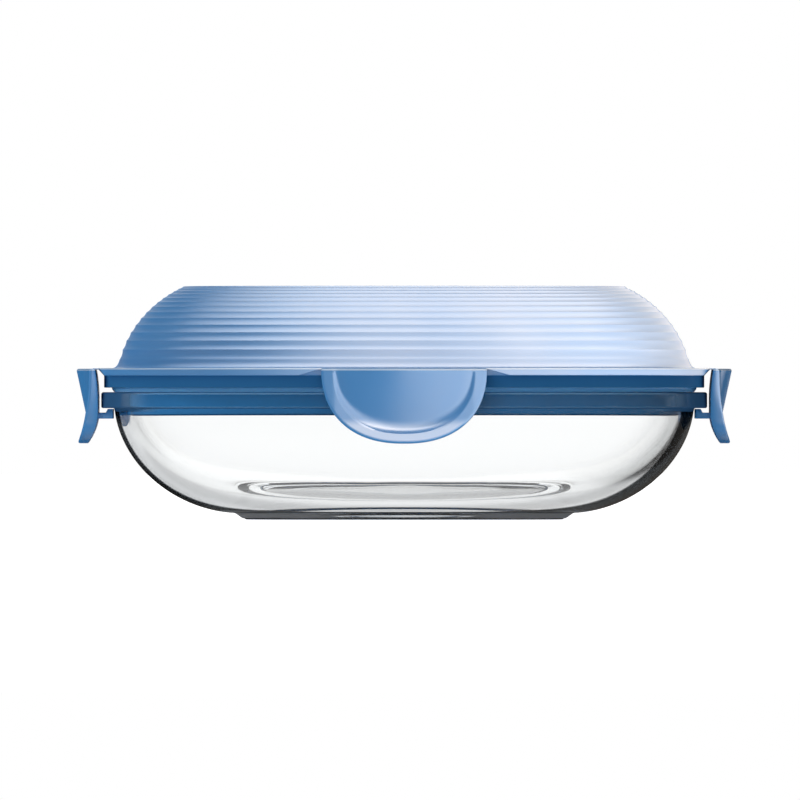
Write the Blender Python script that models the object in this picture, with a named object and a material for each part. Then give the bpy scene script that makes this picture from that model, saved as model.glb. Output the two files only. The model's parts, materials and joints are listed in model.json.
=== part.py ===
"""Low rectangular glass food dish with a ribbed latching lid.

Pieces: the glass dish, the lid shell, the soft seal between them, four D-shaped latches
and the four film hinges they hang from. Units are metres, +Z is up, X runs along the
long side, and the origin is the centre of the foot on the table.
"""

import math

import bmesh
import bpy
from mathutils import Matrix, Vector

MM = 0.001
GAP = 0.3 * MM

# Plan outline: a superellipse, rounder and relatively wider towards the foot.
RIM_HALF_LENGTH = 115.4 * MM
FOOT_HALF_LENGTH = 60.5 * MM
RIM_LENGTH_MINUS_WIDTH = 30.0 * MM
FOOT_LENGTH_MINUS_WIDTH = 22.5 * MM
RIM_SQUARENESS = 3.2
FOOT_SQUARENESS = 2.4
RING_POINTS = 56
CORNER_DENSITY = 0.35

# Heights above the table.
FOOT_RECESS_Z = 1.0 * MM
FOOT_STEP_Z = 2.5 * MM
FLOOR_Z = 7.0 * MM
PLUG_BOTTOM_Z = 39.9 * MM
RIM_UNDERSIDE_Z = 42.4 * MM
RIM_TOP_Z = 48.5 * MM
SKIRT_BOTTOM_Z = 50.2 * MM
FLANGE_UNDERSIDE_Z = 54.8 * MM
FLANGE_TOP_Z = 57.6 * MM
LID_TOP_Z = 88.8 * MM

# Glass dish.
FOOT_RING_WIDTH = 5.0 * MM
FOOT_STEP_HALF_LENGTH = 65.8 * MM
WALL_TOP_Z = 45.0 * MM
OUTER_WALL_START = 63.0 * MM
OUTER_WALL_SPREAD = 47.5 * MM
OUTER_WALL_DEPTH = 42.6 * MM
INNER_WALL_START = 60.0 * MM
INNER_WALL_SPREAD = 46.6 * MM
WALL_ROUNDNESS = 1.9
WALL_STEPS = 9
RIM_EDGE = 0.7 * MM

# Lid.
FLANGE_HALF_LENGTH = 117.0 * MM
SKIRT_HALF_LENGTH = 114.3 * MM
GROOVE_OUTER = 111.6 * MM
GROOVE_INNER = 108.2 * MM
GROOVE_TOP_Z = 54.6 * MM
PLUG_HALF_LENGTH = 105.6 * MM
PLUG_THICKNESS = 2.0 * MM
DOME_CENTRE = (62.0 * MM, 52.0 * MM)
DOME_RADII = (47.5 * MM, 41.5 * MM)
DOME_TOP_ANGLE = math.radians(62.3)
DOME_BOTTOM_ANGLE = math.radians(12.5)
LID_THICKNESS = 2.2 * MM
RIB_COUNT = 13
FIRST_RIB_PITCH = 2.4
LAST_RIB_PITCH = 5.2
RIB_DEPTH_PER_RADIAN = 5.0 * MM
DOME_INNER_STEPS = 6

# Latches and hinges. The hinge line runs along the flange's top edge.
HINGE_Z = 57.4 * MM
LATCH_HALF_WIDTH = 31.4 * MM
LATCH_HEIGHT = 28.4 * MM
LATCH_SQUARENESS = 2.3
SCOOP_HALF_WIDTH = 26.6 * MM
SCOOP_HEIGHT = 24.4 * MM
LATCH_TOP_REACH = 8.0 * MM
LATCH_LIP_REACH = 6.9 * MM
LATCH_BORDER_REACH = 2.7 * MM
LATCH_ROWS = 13
LATCH_COLUMNS = 14
HINGE_INSET = 0.5 * MM
FILM_HALF_WIDTH = 29.0 * MM
FILM_HALF_SIZE = 0.2 * MM
HINGE_NOTCH_HALF_WIDTH = 39.8 * MM

# Hook bar inside each latch, measured from the hinge line.
HOOK_HALF_WIDTH = 20.0 * MM
HOOK_ROOT = 1.5 * MM
HOOK_TIP = -6.2 * MM
HOOK_BUMP_START = -4.0 * MM
HOOK_BUMP_FOOT = -3.4 * MM
HOOK_BOTTOM_Z = 38.4 * MM
HOOK_TOP_Z = 40.7 * MM
HOOK_BUMP_Z = RIM_UNDERSIDE_Z - GAP

SIDES = (
    ("front", 0.0, RIM_LENGTH_MINUS_WIDTH),
    ("right", 90.0, 0.0),
    ("back", 180.0, RIM_LENGTH_MINUS_WIDTH),
    ("left", 270.0, 0.0),
)


def clear_scene():
    for item in list(bpy.data.objects):
        bpy.data.objects.remove(item)


def make_material(name, colour, roughness, transmission=0.0):
    material = bpy.data.materials.new(name)
    material.use_nodes = True
    shader = material.node_tree.nodes["Principled BSDF"]
    shader.inputs["Base Color"].default_value = (*colour, 1.0)
    shader.inputs["Roughness"].default_value = roughness
    shader.inputs["Metallic"].default_value = 0.0
    shader.inputs["Transmission Weight"].default_value = transmission
    return material


def mesh_object(name, bm, material, smooth_angle=35.0):
    """Turns a finished bmesh into a linked object, shaded smooth except at sharp edges."""
    bmesh.ops.recalc_face_normals(bm, faces=bm.faces)
    mesh = bpy.data.meshes.new(name)
    bm.to_mesh(mesh)
    bm.free()
    mesh.shade_smooth()
    mesh.set_sharp_from_angle(angle=math.radians(smooth_angle))
    mesh.materials.append(material)
    item = bpy.data.objects.new(name, mesh)
    bpy.context.scene.collection.objects.link(item)
    return item


def fall_from_rim(half_length):
    """0 at the rim, 1 at the foot, changing slowly near the rim."""
    share = (RIM_HALF_LENGTH - half_length) / (RIM_HALF_LENGTH - FOOT_HALF_LENGTH)
    return share * abs(share)


def ring(half_length, z):
    """One closed plan outline at height z, named by its half length along X."""
    fall = fall_from_rim(half_length)
    drop = RIM_LENGTH_MINUS_WIDTH + fall * (FOOT_LENGTH_MINUS_WIDTH - RIM_LENGTH_MINUS_WIDTH)
    power = RIM_SQUARENESS + fall * (FOOT_SQUARENESS - RIM_SQUARENESS)
    half_width = half_length - drop
    points = []
    for i in range(RING_POINTS):
        turn = 2.0 * math.pi * i / RING_POINTS
        turn += CORNER_DENSITY * math.sin(4.0 * turn) / 4.0
        c, s = math.cos(turn), math.sin(turn)
        reach = (abs(c) ** power + abs(s) ** power) ** (-1.0 / power)
        points.append(Vector((half_length * reach * c, half_width * reach * s, z)))
    return points


def skin(profile, loop=False):
    """Bmesh through the rings of a profile of (half length, z), capped unless it is a loop."""
    bm = bmesh.new()
    rings = [[bm.verts.new(p) for p in ring(a, z)] for a, z in profile]
    pairs = list(zip(rings, rings[1:]))
    if loop:
        pairs.append((rings[-1], rings[0]))
    for upper, lower in pairs:
        for i in range(RING_POINTS):
            j = (i + 1) % RING_POINTS
            bm.faces.new((upper[i], upper[j], lower[j], lower[i]))
    if not loop:
        bm.faces.new(rings[0])
        bm.faces.new(rings[-1])
    return bm


def wall_curve(z, start, spread, depth):
    """Half length of a bowl wall at height z: vertical at the rim, flat at the floor."""
    share = min(max((WALL_TOP_Z - z) / depth, 0.0), 1.0)
    return start + spread * (1.0 - share**WALL_ROUNDNESS) ** (1.0 / WALL_ROUNDNESS)


def wall_heights(low, high):
    """Heights closer together near the floor, where the wall curves most."""
    return [low + (high - low) * (i / WALL_STEPS) ** 1.7 for i in range(WALL_STEPS + 1)]


def dish_profile():
    """From the inner floor up the inside, over the rim, down the outside to the foot."""
    inner_depth = WALL_TOP_Z - FLOOR_Z
    profile = [
        (wall_curve(z, INNER_WALL_START, INNER_WALL_SPREAD, inner_depth), z)
        for z in wall_heights(FLOOR_Z, RIM_UNDERSIDE_Z)
    ]
    inner_edge = INNER_WALL_START + INNER_WALL_SPREAD
    profile += [
        (inner_edge, RIM_TOP_Z - RIM_EDGE),
        (inner_edge + RIM_EDGE, RIM_TOP_Z),
        (RIM_HALF_LENGTH - RIM_EDGE, RIM_TOP_Z),
        (RIM_HALF_LENGTH, RIM_TOP_Z - RIM_EDGE),
        (RIM_HALF_LENGTH, RIM_UNDERSIDE_Z + RIM_EDGE),
        (RIM_HALF_LENGTH - RIM_EDGE, RIM_UNDERSIDE_Z),
    ]
    profile += [
        (wall_curve(z, OUTER_WALL_START, OUTER_WALL_SPREAD, OUTER_WALL_DEPTH), z)
        for z in reversed(wall_heights(FOOT_STEP_Z + 0.1 * MM, RIM_UNDERSIDE_Z))
    ]
    foot_inner = FOOT_HALF_LENGTH - FOOT_RING_WIDTH
    profile += [
        (FOOT_STEP_HALF_LENGTH - 2.6 * MM, 1.5 * MM),
        (FOOT_HALF_LENGTH + 0.4 * MM, 0.3 * MM),
        (FOOT_HALF_LENGTH - 0.4 * MM, 0.0),
        (foot_inner, 0.0),
        (foot_inner - FOOT_RECESS_Z, FOOT_RECESS_Z),
    ]
    return profile


def dome_point(angle, inset):
    """Point of the dome's side profile, moved inwards along its normal by inset."""
    c, s = math.cos(angle), math.sin(angle)
    normal = Vector((c / DOME_RADII[0], s / DOME_RADII[1])).normalized()
    half_length = DOME_CENTRE[0] + DOME_RADII[0] * c - inset * normal.x
    return half_length, DOME_CENTRE[1] + DOME_RADII[1] * s - inset * normal.y


def rib_shares():
    """Where the rib tips sit along the dome's side, from 0 at the top to 1 at the flange."""
    growth = (LAST_RIB_PITCH - FIRST_RIB_PITCH) / (RIB_COUNT - 1)
    pitches = [FIRST_RIB_PITCH + growth * i for i in range(RIB_COUNT)]
    total = sum(pitches)
    return [sum(pitches[:i]) / total for i in range(RIB_COUNT + 1)]


def dome_profile():
    """Ribbed outer side of the dome, from the flat top's edge down to the flange."""
    turn = DOME_BOTTOM_ANGLE - DOME_TOP_ANGLE
    angles = [DOME_TOP_ANGLE + share * turn for share in rib_shares()]
    profile = [dome_point(angles[0], 0.0)]
    for upper, lower in zip(angles, angles[1:]):
        rib_depth = RIB_DEPTH_PER_RADIAN * (upper - lower)
        profile.append(dome_point((upper + lower) / 2.0, rib_depth))
        profile.append(dome_point(lower, 0.0))
    return profile


def lid_profile():
    """From the flat top down the ribbed outside, round flange and plug, up the inside."""
    flange_edge = 0.25 * MM
    plug_inner = PLUG_HALF_LENGTH - PLUG_THICKNESS
    plug_edge = 0.5 * MM
    top_edge = dome_profile()[0][0]
    profile = [(top_edge - 1.0 * MM, LID_TOP_Z)]
    profile += dome_profile()
    profile += [
        (109.0 * MM, 58.7 * MM),
        (109.7 * MM, 57.95 * MM),
        (111.2 * MM, FLANGE_TOP_Z),
        (FLANGE_HALF_LENGTH - flange_edge, FLANGE_TOP_Z),
        (FLANGE_HALF_LENGTH, FLANGE_TOP_Z - flange_edge),
        (FLANGE_HALF_LENGTH, FLANGE_UNDERSIDE_Z),
        (SKIRT_HALF_LENGTH, FLANGE_UNDERSIDE_Z),
        (SKIRT_HALF_LENGTH, SKIRT_BOTTOM_Z),
        (GROOVE_OUTER, SKIRT_BOTTOM_Z),
        (GROOVE_OUTER, GROOVE_TOP_Z),
        (GROOVE_INNER, GROOVE_TOP_Z),
        (GROOVE_INNER, SKIRT_BOTTOM_Z),
        (PLUG_HALF_LENGTH, SKIRT_BOTTOM_Z),
        (PLUG_HALF_LENGTH, PLUG_BOTTOM_Z + plug_edge),
        (PLUG_HALF_LENGTH - plug_edge, PLUG_BOTTOM_Z),
        (plug_inner + plug_edge, PLUG_BOTTOM_Z),
        (plug_inner, PLUG_BOTTOM_Z + plug_edge),
        (plug_inner, FLANGE_UNDERSIDE_Z),
    ]
    inner_bottom = math.radians(14.0)
    for i in range(DOME_INNER_STEPS + 1):
        share = i / DOME_INNER_STEPS
        angle = inner_bottom + share * (DOME_TOP_ANGLE - inner_bottom)
        profile.append(dome_point(angle, LID_THICKNESS))
    profile.append((top_edge - 3.0 * MM, LID_TOP_Z - LID_THICKNESS))
    return profile


def seal_profile():
    """Closed section of the seal: a root in the lid's groove and a narrower lip on the rim."""
    outer = GROOVE_OUTER - GAP
    inner = GROOVE_INNER + GAP
    lip_z = RIM_TOP_Z + GAP
    return [
        (outer, GROOVE_TOP_Z - GAP),
        (outer, SKIRT_BOTTOM_Z - 0.2 * MM),
        (outer - 0.9 * MM, lip_z + 0.4 * MM),
        (outer - 1.3 * MM, lip_z),
        (inner + 0.4 * MM, lip_z),
        (inner, lip_z + 0.4 * MM),
        (inner, GROOVE_TOP_Z - GAP),
    ]


def smooth_step(low, high, value):
    share = min(max((value - low) / (high - low), 0.0), 1.0)
    return share * share * (3.0 - 2.0 * share)


def border_reach(u, depth):
    """How far the latch's raised border stands out from the hinge line."""
    lip = (depth / LATCH_HEIGHT) ** 3
    reach = LATCH_BORDER_REACH + (LATCH_LIP_REACH - LATCH_BORDER_REACH) * lip
    overhang = max(abs(u) - SCOOP_HALF_WIDTH, 0.0)
    return reach + 0.6 * MM - 0.125 * overhang


def scoop_reach(u, depth):
    """How far the scoop's floor stands out: crowned across, sloping inwards downwards."""
    centre = LATCH_TOP_REACH - 0.216 * depth
    crown = 5.1 * MM - 0.11 * depth
    return centre - crown * (u / SCOOP_HALF_WIDTH) ** 2


def latch_outer_reach(u, depth):
    """Outer face of the latch: scoop inside, border outside, a soft wall between them."""
    across = (abs(u) / SCOOP_HALF_WIDTH) ** LATCH_SQUARENESS
    down = (depth / SCOOP_HEIGHT) ** LATCH_SQUARENESS
    radius = (across + down) ** (1.0 / LATCH_SQUARENESS)
    border = smooth_step(0.84, 1.0, radius)
    return scoop_reach(u, depth) * (1.0 - border) + border_reach(u, depth) * border


def latch_inner_reach(depth):
    """Inner face of the latch: close to the rim, then following the lip outwards."""
    straight_from = 12.0 * MM
    straight_to = 16.4 * MM
    if depth < straight_from:
        return -0.6 * MM + 1.1 * MM * (1.0 - depth / straight_from) ** 2
    past = max(depth - straight_to, 0.0) / (LATCH_HEIGHT - straight_to)
    return -0.6 * MM + 4.0 * MM * past**2


def latch_bmesh():
    """D-shaped latch plate in its own frame: origin on the hinge line, -Y outwards."""
    bm = bmesh.new()
    last_turn = math.radians(84.0)
    shape = 2.0 / LATCH_SQUARENESS
    grid = []
    inner = []
    for row in range(LATCH_ROWS + 1):
        turn = last_turn * row / LATCH_ROWS
        half_width = LATCH_HALF_WIDTH * math.cos(turn) ** shape
        depth = LATCH_HEIGHT * math.sin(turn) ** shape
        line = []
        for column in range(LATCH_COLUMNS + 1):
            u = half_width * math.sin(math.pi * (column / LATCH_COLUMNS - 0.5))
            line.append(bm.verts.new((u, -latch_outer_reach(u, depth), -depth)))
        grid.append(line)
        y = -latch_inner_reach(depth)
        inner.append([bm.verts.new((side * half_width, y, -depth)) for side in (-1, 1)])
    for row in range(LATCH_ROWS):
        for column in range(LATCH_COLUMNS):
            bm.faces.new(
                (
                    grid[row][column],
                    grid[row][column + 1],
                    grid[row + 1][column + 1],
                    grid[row + 1][column],
                )
            )
        bm.faces.new((inner[row][0], inner[row + 1][0], inner[row + 1][1], inner[row][1]))
        bm.faces.new((grid[row][0], grid[row + 1][0], inner[row + 1][0], inner[row][0]))
        bm.faces.new((grid[row][-1], inner[row][1], inner[row + 1][1], grid[row + 1][-1]))
    bm.faces.new((*grid[0], inner[0][1], inner[0][0]))
    bm.faces.new((*grid[-1], inner[-1][1], inner[-1][0]))
    return bm


def prism_bmesh(section, half_width, taper=0.0):
    """Prism along X through a section of (outward reach, height); taper widens it downwards."""
    bm = bmesh.new()
    top = max(height for reach, height in section)
    ends = []
    for side in (-1, 1):
        end = []
        for reach, height in section:
            x = side * (half_width + taper * (top - height))
            end.append(bm.verts.new((x, -reach, height)))
        ends.append(end)
    count = len(section)
    for i in range(count):
        j = (i + 1) % count
        bm.faces.new((ends[0][i], ends[0][j], ends[1][j], ends[1][i]))
    bm.faces.new(ends[0])
    bm.faces.new(ends[1])
    return bm


def side_matrix(degrees, shorter_by):
    """Frame of one side's hinge line: X along it, -Y outwards, origin at its middle."""
    turn = Matrix.Rotation(math.radians(degrees), 4, "Z")
    reach = FLANGE_HALF_LENGTH - shorter_by
    return turn @ Matrix.Translation((0.0, -reach, HINGE_Z))


def four_sides_bmesh(section, half_width, taper=0.0):
    """The same prism repeated at each of the four hinge lines, as one mesh of four bodies."""
    whole = bmesh.new()
    for _, degrees, shorter_by in SIDES:
        single = prism_bmesh(section, half_width, taper)
        single.transform(side_matrix(degrees, shorter_by))
        scratch = bpy.data.meshes.new("scratch")
        single.to_mesh(scratch)
        single.free()
        whole.from_mesh(scratch)
        bpy.data.meshes.remove(scratch)
    return whole


def add_boolean(target, name, bm, operation, material):
    """Joins or cuts target with a helper shape that isn't part of the object."""
    helper = mesh_object(name, bm, material)
    helper.hide_render = True
    helper.display_type = "WIRE"
    modifier = target.modifiers.new(name, "BOOLEAN")
    modifier.operation = operation
    modifier.object = helper
    modifier.solver = "EXACT"


def build_dish(material):
    return mesh_object("glass_dish", skin(dish_profile()), material)


def build_seal(material):
    return mesh_object("lid_seal", skin(seal_profile(), loop=True), material)


def build_lid(material):
    """Lid shell with a straight tab and a bevelled notch at each of the four hinge lines."""
    lid = mesh_object("lid_shell", skin(lid_profile()), material)
    top = FLANGE_TOP_Z - HINGE_Z
    underside = FLANGE_UNDERSIDE_Z - HINGE_Z
    skirt = SKIRT_HALF_LENGTH - FLANGE_HALF_LENGTH
    film_bottom = -FILM_HALF_SIZE
    tab = [
        (-5.0 * MM, top),
        (-HINGE_INSET, top),
        (-HINGE_INSET, film_bottom),
        (skirt, underside + 0.2 * MM),
        (-5.0 * MM, underside + 0.2 * MM),
    ]
    add_boolean(lid, "tab_helper", four_sides_bmesh(tab, LATCH_HALF_WIDTH), "UNION", material)
    trim = [
        (-HINGE_INSET, top + 1.0 * MM),
        (3.0 * MM, top + 1.0 * MM),
        (3.0 * MM, film_bottom - 0.5 * MM),
        (-HINGE_INSET, film_bottom - 0.5 * MM),
    ]
    trim_half_width = LATCH_HALF_WIDTH + GAP
    add_boolean(lid, "trim_helper", four_sides_bmesh(trim, trim_half_width), "DIFFERENCE", material)
    notch = [
        (-HINGE_INSET, film_bottom),
        (3.0 * MM, film_bottom),
        (3.0 * MM, underside - 0.4 * MM),
        (skirt + 0.1 * MM, underside - 0.4 * MM),
        (skirt + 0.1 * MM, underside),
    ]
    slant = (HINGE_NOTCH_HALF_WIDTH - LATCH_HALF_WIDTH) / (film_bottom - underside)
    notch_bm = four_sides_bmesh(notch, LATCH_HALF_WIDTH, slant)
    add_boolean(lid, "notch_helper", notch_bm, "DIFFERENCE", material)
    return lid


def build_latch(name, matrix, material):
    """A latch with its hook bar joined on, its origin on the hinge line."""
    latch = mesh_object(name, latch_bmesh(), material)
    bar = [
        (HOOK_ROOT, HOOK_TOP_Z - HINGE_Z),
        (HOOK_ROOT, HOOK_BOTTOM_Z - HINGE_Z),
        (HOOK_TIP, HOOK_BOTTOM_Z - HINGE_Z),
        (HOOK_TIP, HOOK_BUMP_Z - HINGE_Z),
        (HOOK_BUMP_START, HOOK_BUMP_Z - HINGE_Z),
        (HOOK_BUMP_FOOT, HOOK_TOP_Z - HINGE_Z),
    ]
    add_boolean(latch, name + "_hook_helper", prism_bmesh(bar, HOOK_HALF_WIDTH), "UNION", material)
    for item in (latch, latch.modifiers[0].object):
        item.matrix_world = matrix
    return latch


def build_film(name, matrix, material):
    """The thin web that the latch hangs from, centred on the hinge line."""
    half = FILM_HALF_SIZE
    section = [(-half, half), (half, half), (half, -half), (-half, -half)]
    film = mesh_object(name, prism_bmesh(section, FILM_HALF_WIDTH), material)
    film.matrix_world = matrix
    return film


def build_object():
    clear_scene()
    glass = make_material("clear_glass", (0.93, 0.95, 0.95), 0.02, transmission=1.0)
    lid_blue = make_material("lid_blue_plastic", (0.19, 0.36, 0.60), 0.32)
    latch_blue = make_material("latch_blue_plastic", (0.19, 0.36, 0.60), 0.30)
    seal_blue = make_material("seal_silicone", (0.10, 0.24, 0.45), 0.45)
    build_dish(glass)
    build_lid(lid_blue)
    build_seal(seal_blue)
    for side, degrees, shorter_by in SIDES:
        matrix = side_matrix(degrees, shorter_by)
        build_latch(side + "_latch", matrix, latch_blue)
        build_film(side + "_film_hinge", matrix, latch_blue)


build_object()
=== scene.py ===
"""Looks for the glass food dish with its ribbed latching lid.

Every piece is rebuilt as a fine mesh in the place of its CAD node. Lengths in this
script are millimetres in the CAD's frame, and become metres when a mesh is made.
A point of a section is a pair: half the length of the plan outline there, and height.
"""

import json
import math

import bmesh
import bpy
import numpy as np
from mathutils import Matrix, Vector


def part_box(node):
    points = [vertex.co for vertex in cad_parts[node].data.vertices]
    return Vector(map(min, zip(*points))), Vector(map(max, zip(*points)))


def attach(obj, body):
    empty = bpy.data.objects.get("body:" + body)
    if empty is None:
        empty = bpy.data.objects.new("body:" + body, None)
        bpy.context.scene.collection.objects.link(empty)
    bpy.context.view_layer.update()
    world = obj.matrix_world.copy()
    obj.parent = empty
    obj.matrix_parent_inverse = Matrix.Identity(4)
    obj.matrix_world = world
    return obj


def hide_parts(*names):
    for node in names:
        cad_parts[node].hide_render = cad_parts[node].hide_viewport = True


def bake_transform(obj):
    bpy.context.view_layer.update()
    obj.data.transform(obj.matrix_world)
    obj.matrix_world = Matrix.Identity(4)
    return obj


MM = 0.001

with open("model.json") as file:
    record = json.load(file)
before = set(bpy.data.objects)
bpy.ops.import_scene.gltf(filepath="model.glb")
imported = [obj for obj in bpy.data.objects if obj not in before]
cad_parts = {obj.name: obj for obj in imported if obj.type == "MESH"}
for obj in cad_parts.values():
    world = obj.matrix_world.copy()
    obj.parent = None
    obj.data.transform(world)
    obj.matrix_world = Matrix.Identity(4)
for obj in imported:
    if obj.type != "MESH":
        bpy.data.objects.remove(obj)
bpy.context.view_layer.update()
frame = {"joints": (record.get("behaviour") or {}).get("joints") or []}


def node_box(node):
    """Low and high corner of a CAD node's box in millimetres."""
    low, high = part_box(node)
    return low / MM, high / MM


DISH_HIGH = node_box("glass_dish")[1]
LID_LOW, LID_HIGH = node_box("lid_shell")
SEAL_HIGH = node_box("lid_seal")[1]
LATCH_HIGH = node_box("front_latch")[1]
JOINTS = {joint["name"]: joint for joint in frame["joints"]}

# Places taken from the frame.
RIM_HALF = DISH_HIGH.x
RIM_TOP = DISH_HIGH.z
RIM_DROP = DISH_HIGH.x - DISH_HIGH.y
LID_TOP = LID_HIGH.z
PLUG_BOTTOM = LID_LOW.z
HINGE_Z = JOINTS["right_latch_hinge"]["pos_m"][2] / MM
FLANGE_HALF = JOINTS["right_latch_hinge"]["pos_m"][0] / MM

# Plan outline: a superellipse that gets rounder towards the foot.
FOOT_HALF = 60.5
FOOT_DROP = 22.5
RIM_SQUARENESS = 3.2
FOOT_SQUARENESS = 2.4
RING_POINTS = 288
CORNER_DENSITY = 0.35
CENTRE_HALF = 40.0

# Heights.
FLANGE_TOP = HINGE_Z + 0.2
FLANGE_UNDERSIDE = 54.8
SKIRT_BOTTOM = 50.2
WALL_TOP = 45.0
RIM_UNDERSIDE = 42.4
FLOOR = 7.0
OUTER_WALL_FOOT = 2.55
FOOT_RECESS = 1.0

# Glass walls: half length where the wall starts, how far it spreads and how deep it curves.
WALL_ROUNDNESS = 1.9
INNER_WALL = (60.0, 46.6, WALL_TOP - FLOOR)
OUTER_WALL = (63.0, 47.5, 42.6)
RIM_ROUND = 0.9
RIM_UNDER_ROUND = 0.7
NECK_ROUND = 0.6
FOOT_RING_WIDTH = 5.0

# Lid sections.
FLANGE_ROUND = 0.55
SKIRT_HALF = 114.3
GROOVE_OUTER = 111.6
GROOVE_INNER = 108.2
GROOVE_TOP = 54.6
PLUG_HALF = 105.6
PLUG_THICKNESS = 2.0
PLUG_ROUND = 0.6
LID_THICKNESS = 2.2
DOME_CENTRE = (62.0, 52.0)
DOME_RADII = (47.5, 41.5)
DOME_TOP_ANGLE = math.radians(62.3)
DOME_BOTTOM_ANGLE = math.radians(12.5)
CEILING_BOTTOM_ANGLE = math.radians(14.0)
RIB_COUNT = 13
FIRST_RIB_PITCH = 2.4
LAST_RIB_PITCH = 5.2
RIB_DEPTH_PER_RADIAN = 4.1
RIB_STEPS = 8

# Latches, measured from the hinge line.
LATCH_HALF_WIDTH = LATCH_HIGH.x
LATCH_HEIGHT = 28.4
LATCH_SQUARENESS = 2.3
LATCH_CENTRE_DEPTH = 11.0
LATCH_SHARP_ANGLE = 35.0
LATCH_OUTER_ROUND = 1.0
LATCH_INNER_ROUND = 0.3
SCOOP_HALF_WIDTH = 26.6
SCOOP_HEIGHT = 24.7
SCOOP_WALL_START = 0.80
SCOOP_UPPER_WALL_START = 0.92
LATCH_TOP_REACH = 8.0
LATCH_LIP_REACH = 6.9
LATCH_BORDER_REACH = 2.7
HOOK_HALF_WIDTH = 20.0
HINGE_INSET = 0.5
NOTCH_HALF_WIDTH = 39.8
FILM_HALF_WIDTH = 31.0

SIDES = (
    ("front", 0.0, RIM_DROP),
    ("right", 90.0, 0.0),
    ("back", 180.0, RIM_DROP),
    ("left", 270.0, 0.0),
)


# ---------------------------------------------------------------- outlines


def fall_from_rim(half):
    """0 at the rim, 1 at the foot, changing slowly near the rim."""
    share = (RIM_HALF - half) / (RIM_HALF - FOOT_HALF)
    return share * abs(share)


def outline_point(half, turn):
    """Plan point of the outline with this half length, at parameter turn."""
    fall = fall_from_rim(half)
    half_width = half - RIM_DROP - fall * (FOOT_DROP - RIM_DROP)
    power = RIM_SQUARENESS + fall * (FOOT_SQUARENESS - RIM_SQUARENESS)
    c, s = math.cos(turn), math.sin(turn)
    reach = (abs(c) ** power + abs(s) ** power) ** (-1.0 / power)
    return half * reach * c, half_width * reach * s


def turn_at(coordinate, axis):
    """Parameter in the first quadrant where the flange outline's x or y is coordinate."""
    low, high = 0.0, math.pi / 2.0
    falling = axis == 0
    for _ in range(40):
        middle = (low + high) / 2.0
        value = outline_point(FLANGE_HALF, middle)[axis]
        if (value > coordinate) == falling:
            low = middle
        else:
            high = middle
    return (low + high) / 2.0


def outline_turns():
    """Parameters of the ring points, with points exactly at the ends of each hinge notch."""
    turns = []
    for i in range(RING_POINTS // 4 + 1):
        turn = 2.0 * math.pi * i / RING_POINTS
        turns.append(turn + CORNER_DENSITY * math.sin(4.0 * turn) / 4.0)
    kinks = [LATCH_HALF_WIDTH - 0.3, LATCH_HALF_WIDTH + 0.1, NOTCH_HALF_WIDTH]
    for axis in (0, 1):
        for kink in kinks:
            wanted = turn_at(kink, axis)
            free = range(1, len(turns) - 1)
            nearest = min(free, key=lambda i: abs(turns[i] - wanted))
            turns[nearest] = wanted
    quarter = sorted(turns)[:-1]
    half_turn = quarter + [math.pi - t for t in [math.pi / 2.0] + quarter[:0:-1]]
    return half_turn + [t + math.pi for t in half_turn]


TURNS = outline_turns()


def ring(half, z):
    return [(*outline_point(half, turn), z) for turn in TURNS]


# ---------------------------------------------------------------- mesh helpers


def new_object(name, points, faces, sharp_angle=30.0):
    """Linked smooth-shaded object from points in millimetres."""
    mesh = bpy.data.meshes.new(name)
    mesh.from_pydata([(x * MM, y * MM, z * MM) for x, y, z in points], [], faces)
    bm = bmesh.new()
    bm.from_mesh(mesh)
    bmesh.ops.recalc_face_normals(bm, faces=bm.faces)
    bm.to_mesh(mesh)
    bm.free()
    mesh.shade_smooth()
    mesh.set_sharp_from_angle(angle=math.radians(sharp_angle))
    item = bpy.data.objects.new(name, mesh)
    bpy.context.scene.collection.objects.link(item)
    return item


def ring_faces(first, second, count):
    """Quads between two closed rings whose first points have these indices."""
    faces = []
    for i in range(count):
        j = (i + 1) % count
        faces.append((first + i, first + j, second + j, second + i))
    return faces


def skin(name, rings, loop=False, sharp_angle=30.0):
    """Object through a list of rings, with flat caps unless the section is a loop."""
    count = len(rings[0])
    points = [point for one in rings for point in one]
    faces = []
    last = len(rings) if loop else len(rings) - 1
    for k in range(last):
        faces += ring_faces(k * count, ((k + 1) % len(rings)) * count, count)
    if not loop:
        faces.append(tuple(range(count)))
        faces.append(tuple(range((len(rings) - 1) * count, len(rings) * count)))
    return new_object(name, points, faces, sharp_angle)


def arc(centre, radius, start, end, steps):
    """Points of a round edge in a section, angles in degrees."""
    points = []
    for i in range(steps + 1):
        angle = math.radians(start + (end - start) * i / steps)
        half = centre[0] + radius * math.cos(angle)
        points.append((half, centre[1] + radius * math.sin(angle)))
    return points


def smooth_step(low, high, value):
    share = np.clip((value - low) / (high - low), 0.0, 1.0)
    return share * share * (3.0 - 2.0 * share)


# ---------------------------------------------------------------- glass dish


def wall_half(z, wall):
    """Half length of a bowl wall at height z."""
    start, spread, depth = wall
    share = min(max((WALL_TOP - z) / depth, 0.0), 1.0)
    return start + spread * (1.0 - share**WALL_ROUNDNESS) ** (1.0 / WALL_ROUNDNESS)


def wall_profile(wall, low, high, steps=44):
    """Bowl wall from low to high, with more points near the floor."""
    heights = [low + (high - low) * (i / steps) ** 2.2 for i in range(steps + 1)]
    return [(wall_half(z, wall), z) for z in heights]


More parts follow.
